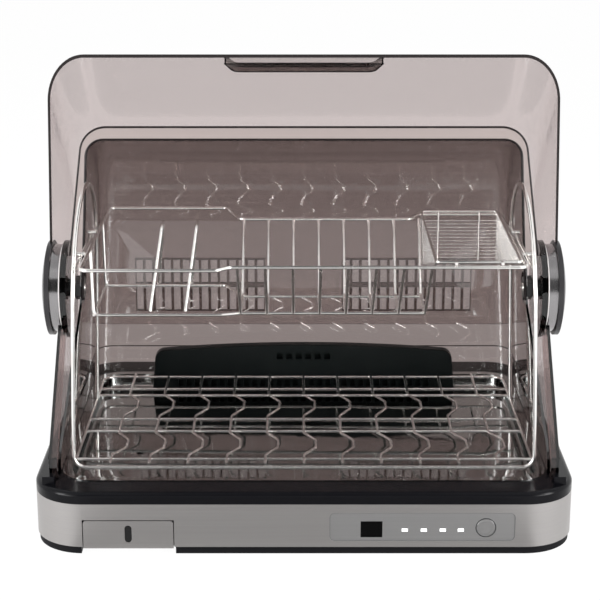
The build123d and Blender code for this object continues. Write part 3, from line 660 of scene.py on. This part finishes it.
rimBead = {
    "front": -9.4, "low": 236.0, "top": 365.0, "halfLow": 232.0, "halfTop": 215.0, "corner": 26.0,
    "line": 1.1,
}
lipBead = {
    "front": -8.9, "low": 190.0, "top": 353.0, "halfLow": 221.8, "halfTop": 212.0, "corner": 18.0,
    "line": 1.5,
}
ridge = {"half": 227.0, "front": 20.0, "back": 149.0, "z": 90.0, "corner": 17.0, "line": 0.5}


def beadRun(bead):
    low, top = bead["low"], bead["top"]
    arch = [(-bead["halfLow"], low), (-bead["halfTop"], top), (bead["halfTop"], top), (bead["halfLow"], low)]
    return roundedPath([(x, bead["front"], z) for x, z in arch], [bead["corner"]] * 2, steps=16), False


def ridgeRun():
    half, front, back = ridge["half"], ridge["front"], ridge["back"]
    plan = [(-half, front), (-half, back), (half, back), (half, front)]
    return roundedPath([(x, y, ridge["z"]) for x, y in plan], [ridge["corner"]] * 2), False


addTube("coverRimBead", [beadRun(rimBead)], rimBead["line"], "base", finish="smokyEdge")
addTube("coverLipBead", [beadRun(lipBead)], lipBead["line"], "base", finish="smokyEdge")
addTube("coverRidge", [ridgeRun()], ridge["line"], "base", finish="smokyEdge")
print("covers dressed")


# lower rack
rack = {
    "half": 218.0, "lean": 0.0336, "front": -138.5, "leg": 48.0, "back": 120.0, "low": 63.0, "top": 315.0,
    "barRise": 14.0, "archTrim": 0.1, "frameWire": 2.0, "crossWire": 1.5, "floorWire": 1.4, "floorLow": 63.5,
    "floorHigh": 66.4, "frontBend": 12.0, "floorBend": 14.0, "bars": (80, 60, -11, -45), "lipBar": -119.0,
    "waves": 11, "pitch": 36.75, "swing": 11.5, "waveStops": (54, 34, 13, -9, -57, -76, -96, -115),
    "waveBends": (8, 9, 9, 8, 8, 9, 9, 8),
}


def rackX(z):
    return rack["half"] - rack["lean"] * (z - rack["low"])


def archRun(side):
    radius = (rack["leg"] - rack["front"]) / 2 - rack["archTrim"]
    spots = [
        (rack["front"], rack["low"] + rack["barRise"]), (rack["front"], rack["top"]),
        (rack["leg"], rack["top"]), (rack["leg"], rack["floorLow"] + rack["crossWire"]),
    ]
    return roundedPath([(side * rackX(z), y, z) for y, z in spots], [radius] * 2, steps=28), False


def frontBarRun():
    half, low = rack["half"], rack["low"]
    end = low + rack["barRise"]
    points = [(-rackX(end), end), (-half, low), (half, low), (rackX(end), end)]
    return roundedPath([(x, rack["front"], z) for x, z in points], [rack["frontBend"]] * 2), False


def waveRun():
    # a floor wire steps aside and back twice on its way to the front
    x = -(rack["waves"] - 1) / 2 * rack["pitch"]
    aside = x + rack["swing"]
    spots = [(x, rack["back"]), *zip([x, aside, aside, x] * 2, rack["waveStops"]), (x, rack["front"])]
    return roundedPath([(px, py, rack["floorHigh"]) for px, py in spots], rack["waveBends"], steps=6)


def floorBars():
    half, z, wire = rack["half"], rack["floorLow"], rack["crossWire"]
    start = rack["lipBar"] + wire
    hem = [(-half, start), (-half, rack["back"]), (half, rack["back"]), (half, start)]
    runs = [(roundedPath([(x, y, z) for x, y in hem], [rack["floorBend"]] * 2), False)]
    runs.append(straightRun((-half - wire, rack["lipBar"], z), (half + wire, rack["lipBar"], z)))
    runs += [straightRun((wire - half, y, z), (half - wire, y, z)) for y in rack["bars"]]
    return tubeMesh("floorBars", runs, wire)


addTube("rackFrontBar", [frontBarRun()], rack["frameWire"], "lower_rack", ("rack_front_bar",), sides=4)
for label, side in sideSigns.items():
    arch = [archRun(side)]
    addTube(label + "RackArch", arch, rack["frameWire"], "lower_rack", (label + "_rack_arch",), sides=4)
    smoothPiece(label + "_rack_rail", "chrome")
waves = repeated("rackWaves", waveRun(), rack["waves"], (rack["pitch"], 0, 0), rack["floorWire"])
floorGrid = joinMeshes("rackFloorGrid", [floorBars(), waves])
addPiece("rackFloorGrid", floorGrid, "lower_rack", ("rack_floor",), "chrome")
print("lower rack wired")


# upper rack: a bay on the left, the plate slots, and the basket on the right
upper = {
    "z": 258.0, "half": 204.5, "rimWire": 1.8, "wire": 1.6, "floor": 191.0, "bend": 7.0, "longBend": 5.0,
    "bayFront": -144.0, "bayBack": 102.0, "bayFirst": -203.5, "bayRight": -80.0,
    "bayFloorFront": -63.0, "bayFloorBack": 40.0,
    "front": -133.0, "back": 53.0, "floorFront": -57.0, "floorBack": 0.0, "count": 8, "first": -61.5,
    "pitch": 25.6, "slotsFrontLeft": -68.0, "slotsLeft": -66.0, "slotsRight": 110.0,
    "basketLeft": 118.0, "basketBack": 75.0,
    "hoops": (-149, -115), "hoopFoot": 194.2, "hoopTop": 270.0, "hoopLean": 10.0,
    "hoopTopFront": -21.0, "hoopTopBack": -3.0,
}


def rimRun():
    half, front, back = upper["half"], upper["front"], upper["back"]
    bayFront, bayBack, bayRight = upper["bayFront"], upper["bayBack"], upper["bayRight"]
    plan = [
        (-half, bayFront), (bayRight, bayFront), (upper["slotsFrontLeft"], front), (half, front),
        (half, upper["basketBack"]), (upper["basketLeft"], upper["basketBack"]), (upper["slotsRight"], back),
        (upper["slotsLeft"], back), (bayRight, bayBack), (-half, bayBack),
    ]
    return closedPath([(x, y, upper["z"]) for x, y in plan], upper["bend"], steps=8), True


def cradleRun():
    x, z, floor = upper["first"], upper["z"], upper["floor"]
    points = [
        (x, upper["front"], z), (x, upper["floorFront"], floor),
        (x, upper["floorBack"], floor), (x, upper["back"], z),
    ]
    return roundedPath(points, [upper["bend"]] * 2, steps=8)


def longRuns():
    floor, left, first = upper["floor"], upper["bayFirst"], upper["first"]
    last = first + (upper["count"] - 1) * upper["pitch"]
    runs = [straightRun((left, upper["bayFloorFront"], floor), (left, upper["bayFloorBack"], floor))]
    for end in ("Front", "Back"):
        bayY, floorY = upper["bayFloor" + end], upper["floor" + end]
        points = [
            (-upper["half"], bayY, upper["z"]), (left, bayY, floor), (upper["bayRight"], bayY, floor),
            (first, floorY, floor), (last, floorY, floor),
        ]
        runs.append((roundedPath(points, [upper["longBend"]] * 3, steps=6), False))
    return tubeMesh("longRuns", runs, upper["wire"])


def hoopRuns():
    foot, top = upper["hoopFoot"], upper["hoopTop"]
    runs = []
    for x in upper["hoops"]:
        leanX = x + upper["hoopLean"]
        points = [
            (x, upper["bayFloorFront"], foot), (leanX, upper["hoopTopFront"], top),
            (leanX, upper["hoopTopBack"], top), (x, upper["bayFloorBack"], foot),
        ]
        runs.append((roundedPath(points, [upper["bend"]] * 2, steps=8), False))
    return runs


addTube("upperRim", [rimRun()], upper["rimWire"], "upper_rack", ("upper_rack_rim",), sides=4)
cradles = repeated("cradles", cradleRun(), upper["count"], (upper["pitch"], 0, 0), upper["wire"])
addPiece("upperCradles", joinMeshes("upperCradles", [cradles, longRuns()]), "upper_rack",
         ("upper_rack_front", "upper_rack_rear", "upper_rack_floor"), "chrome")
addTube("plateHoops", hoopRuns(), upper["wire"], "upper_rack", ("plate_hoops",))
smoothPiece("rack_hooks", "chrome")
print("upper rack wired")


# cutlery basket
basket = {
    "left": 121.5, "right": 200.0, "front": -128.5, "back": 70.5, "z": 261.9, "low": 206.0, "corner": 4.0,
    "wire": 1.5, "edgeWire": 1.1, "mesh": 0.62, "inset": 3.0, "edgeGap": 0.5, "topGap": 0.6,
    "sidePitch": 4.0, "sideMargin": 8.0, "postInset": 18.0, "backPitch": 3.6, "backHeight": 50.0,
    "floorPitch": 5.0, "floorMargin": 4.0,
}
basketSlope = (basket["z"] - basket["wire"] - basket["low"]) / (basket["back"] - basket["front"])


def slopeZ(y):
    return basket["low"] + basketSlope * (basket["back"] - y)


def basketRun():
    left, right, front, back = (basket[size] for size in ("left", "right", "front", "back"))
    plan = [(left, front), (right, front), (right, back), (left, back)]
    return closedPath([(x, y, basket["z"]) for x, y in plan], basket["corner"], steps=6), True


def sideWires(x):
    first = basket["back"] - basket["inset"]
    end = basket["front"] + basket["inset"]
    length = basket["back"] - basket["front"] - basket["sideMargin"]
    pitch = basket["sidePitch"]
    edge = straightRun((x, basket["back"] - basket["edgeGap"], basket["low"]), (x, end, slopeZ(end)))
    stub = [(0, 0, 0), (0, 0, mm)]  # the fan takes no path
    fan = runTree("sideFan", fanTree, stub, {
        "Count": int(length / pitch), "Start": list(at(x, first, slopeZ(first))),
        "Step": [0.0, -pitch * mm, pitch * basketSlope * mm],
        "Height": (basket["z"] - basket["topGap"] - slopeZ(first)) * mm,
        "Height Change": -pitch * basketSlope * mm, "Wire Radius": basket["mesh"] * mm,
        "Finish": finishes["chrome"],
    })
    return joinMeshes("basketSide", [tubeMesh("edge", [edge], basket["edgeWire"]), fan])


def backWires():
    left, right, y, low = (basket[size] for size in ("left", "right", "back", "low"))
    postPlaces = (left + basket["postInset"], right - basket["postInset"])
    posts = [straightRun((x, y, low), (x, y, basket["z"])) for x in postPlaces]
    posts.append(straightRun((left, y, low), (right, y, low)))
    first, pitch = low + basket["inset"], basket["backPitch"]
    path = [at(left, y, first), at(right, y, first)]
    lines = repeated("backLines", path, int(basket["backHeight"] / pitch), (0, 0, pitch), basket["mesh"])
    return joinMeshes("basketBack", [tubeMesh("backPosts", posts, basket["edgeWire"]), lines])


def floorWires():
    x = basket["left"] + basket["inset"]
    end = basket["front"] + basket["floorMargin"]
    width = basket["right"] - basket["left"] - basket["floorMargin"]
    pitch = basket["floorPitch"]
    path = [at(x, basket["back"], basket["low"]), at(x, end, slopeZ(end))]
    return repeated("basketFloor", path, int(width / pitch) + 1, (pitch, 0, 0), basket["mesh"])


addTube("basketRim", [basketRun()], basket["wire"], "cutlery_basket", ("basket_rim",))
smoothPiece("basket_tabs", "chrome")
for label in sideSigns:
    wires = sideWires(basket[label])
    addPiece(label + "BasketWires", wires, "cutlery_basket", ("basket_" + label + "_side",), "chrome")
addPiece("backBasketWires", backWires(), "cutlery_basket", ("basket_back",), "chrome")
addPiece("floorBasketWires", floorWires(), "cutlery_basket", ("basket_floor",), "chrome")
print("basket wired")


# floor, light and camera
studio = {
    "floorHalf": 6.0, "floorTone": 0.86, "floorGlow": 0.93, "glow": 1.04, "fill": 0.35, "cardRough": 0.9,
    "flagTone": 0.03, "flagHalf": 1.2, "flagFront": -3.2, "flagLow": 0.4, "flagTop": 2.8,
    "roofHalf": 0.6, "roofGap": (-1.7, -1.32), "roofBack": 4.0,
    "matHalf": 0.225, "matFront": -0.7, "matBack": -0.2, "matLift": 0.0006, "matGlow": 0.34,
}


def seenMask(nodes, links):
    # 1 for rays that show the surroundings, 0 for rays that only light the object
    path = nodes.new("ShaderNodeLightPath")
    mask = path.outputs["Is Camera Ray"]
    for label in ("Is Glossy Ray", "Is Transmission Ray"):
        either = nodes.new("ShaderNodeMath")
        either.operation = "MAXIMUM"
        links.new(mask, either.inputs[0])
        links.new(path.outputs[label], either.inputs[1])
        mask = either.outputs["Value"]
    return mask


def levelCard(half, front, back, z):
    return [(-half, front, z), (half, front, z), (half, back, z), (-half, back, z)]


def addSheet(name, corners, mat):
    mesh = bpy.data.meshes.new(name)
    mesh.from_pydata(corners, [], [(0, 1, 2, 3)])
    mesh.materials.append(mat)
    sheet = bpy.data.objects.new(name, mesh)
    scene.collection.objects.link(sheet)
    return sheet


def addFloor():
    mat = bpy.data.materials.new("studioFloor")
    mat.use_nodes = True
    nodes, links = mat.node_tree.nodes, mat.node_tree.links
    nodes.clear()
    out = nodes.new("ShaderNodeOutputMaterial")
    share = nodes.new("ShaderNodeMath")
    share.operation = "MULTIPLY"
    share.inputs[1].default_value = studio["floorGlow"]
    glow = nodes.new("ShaderNodeEmission")
    glow.inputs["Strength"].default_value = studio["glow"]
    plain = nodes.new("ShaderNodeBsdfDiffuse")
    plain.inputs["Color"].default_value = (*[studio["floorTone"]] * 3, 1)
    mix = nodes.new("ShaderNodeMixShader")
    links.new(seenMask(nodes, links), share.inputs[0])
    links.new(share.outputs["Value"], mix.inputs["Fac"])
    links.new(plain.outputs["BSDF"], mix.inputs[1])
    links.new(glow.outputs["Emission"], mix.inputs[2])
    links.new(mix.outputs["Shader"], out.inputs["Surface"])
    half = studio["floorHalf"]
    addSheet("studioFloor", levelCard(half, -half, half, 0), mat)


def addWorld():
    world = bpy.data.worlds.new("studioWorld")
    scene.world = world
    world.use_nodes = True
    nodes, links = world.node_tree.nodes, world.node_tree.links
    back = nodes["Background"]
    back.inputs["Color"].default_value = (1, 1, 1, 1)
    level = nodes.new("ShaderNodeMapRange")
    level.inputs["To Min"].default_value = studio["fill"]
    level.inputs["To Max"].default_value = studio["glow"]
    links.new(seenMask(nodes, links), level.inputs["Value"])
    links.new(level.outputs["Result"], back.inputs["Strength"])


def addFlags():
    # cards behind the camera, overhead and before the base that only show as reflections
    dull = {"Roughness": studio["cardRough"]}
    black = newFinish("flagBlack", [studio["flagTone"]] * 3, dull)[0]
    grey = newFinish("flagGrey", (0.0, 0.0, 0.0), {**dull, "Emission Strength": studio["matGlow"]})[0]
    half, front, low, top = (studio[size] for size in ("flagHalf", "flagFront", "flagLow", "flagTop"))
    roofHalf = studio["roofHalf"]
    gapFront, gapBack = studio["roofGap"]
    standing = [(-half, front, low), (half, front, low), (half, front, top), (-half, front, top)]
    mat = levelCard(studio["matHalf"], studio["matFront"], studio["matBack"], studio["matLift"])
    for name, corners, finish in [
        ("studioFlag", standing, black),
        ("studioRoofFront", levelCard(roofHalf, front, gapFront, top), black),
        ("studioRoofBack", levelCard(roofHalf, gapBack, studio["roofBack"], top), black),
        ("studioMat", mat, grey),
    ]:
        card = addSheet(name, corners, finish)
        card.visible_camera = False
        card.visible_diffuse = False
        card.visible_transmission = False
        card.visible_shadow = False


def addLamp(name, place, aim, size, power, mirrored=True):
    lamp = bpy.data.lights.new(name, "AREA")
    lamp.shape = "RECTANGLE"
    lamp.size, lamp.size_y = size
    lamp.energy = power
    obj = bpy.data.objects.new(name, lamp)
    obj.location = place
    obj.rotation_euler = (Vector(aim) - Vector(place)).to_track_quat("-Z", "Y").to_euler()
    obj.visible_glossy = mirrored
    scene.collection.objects.link(obj)


addFloor()
addWorld()
addFlags()
addLamp("topSoftbox", place=(0, -0.3, 1.9), aim=(0, 0, 0.2), size=(1.8, 1.4), power=22, mirrored=False)
addLamp("leftStrip", place=(-1.5, -1.1, 0.6), aim=(-0.1, -0.1, 0.2), size=(0.5, 1.0), power=18)
addLamp("leftLow", place=(-0.95, -0.85, 0.16), aim=(-0.24, -0.16, 0.03), size=(0.6, 0.28), power=5)
addLamp("rightStrip", place=(1.5, -1.0, 0.6), aim=(0.1, -0.1, 0.2), size=(0.5, 1.0), power=16)
addLamp("rightLow", place=(0.95, -0.85, 0.16), aim=(0.24, -0.16, 0.03), size=(0.6, 0.28), power=5)
addLamp("frontFill", place=(0, -2.4, 1.1), aim=(0, 0, 0.2), size=(1.6, 0.8), power=10, mirrored=False)

photoView = {"lens": 98.4, "sensor": 36, "place": (-0.0038, -1.582, 0.661), "tilt": 73.43}
cameraData = bpy.data.cameras.new("photoCamera")
cameraData.lens = photoView["lens"]
cameraData.sensor_width = photoView["sensor"]
camera = bpy.data.objects.new("photoCamera", cameraData)
camera.location = photoView["place"]
camera.rotation_euler = (radians(photoView["tilt"]), 0, 0)
scene.collection.objects.link(camera)
scene.camera = camera
print("studio set")
